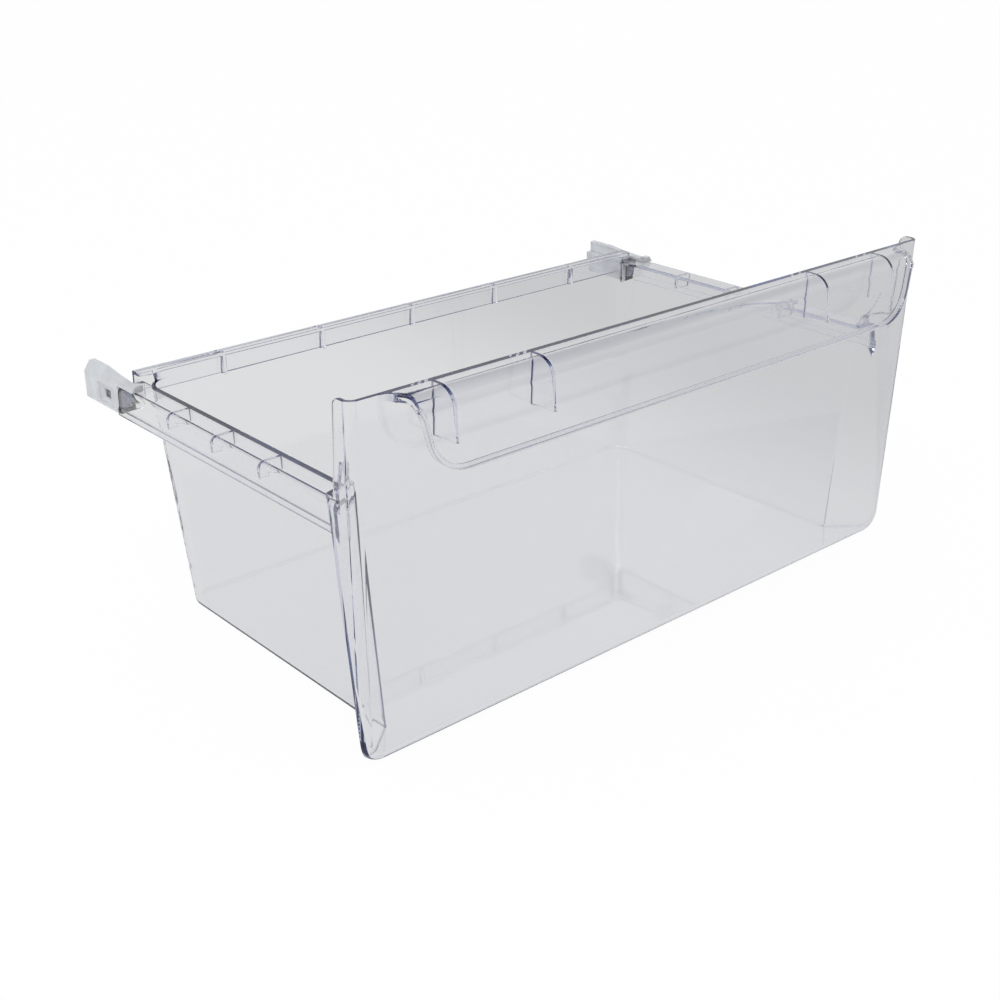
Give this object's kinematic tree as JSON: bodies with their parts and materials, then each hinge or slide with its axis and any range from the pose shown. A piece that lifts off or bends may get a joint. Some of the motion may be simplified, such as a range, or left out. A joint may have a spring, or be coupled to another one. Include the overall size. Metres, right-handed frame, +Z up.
{
  "type": "fridge drawer",
  "caption": "Clear moulded fridge drawer: a drafted open tub with a tall flared front panel, a rolled grip lip, hanging side rims and clip-on rear glides.",
  "frame": {"origin": "centre of the bounding box on the floor plane, under the drawer's floor", "axes": "+Z up out of the drawer, -Y towards the front panel and the user, X across the front"},
  "size_m": [0.447, 0.3002, 0.203],
  "materials": {
    "clear_plastic": "clear, glossy moulding",
    "natural_plastic": "milky, half-clear moulding"
  },
  "bodies": {
    "root": {"drawer_body": "clear_plastic", "left_rear_glide": "natural_plastic", "right_rear_glide": "natural_plastic"}
  },
  "joints": []
}
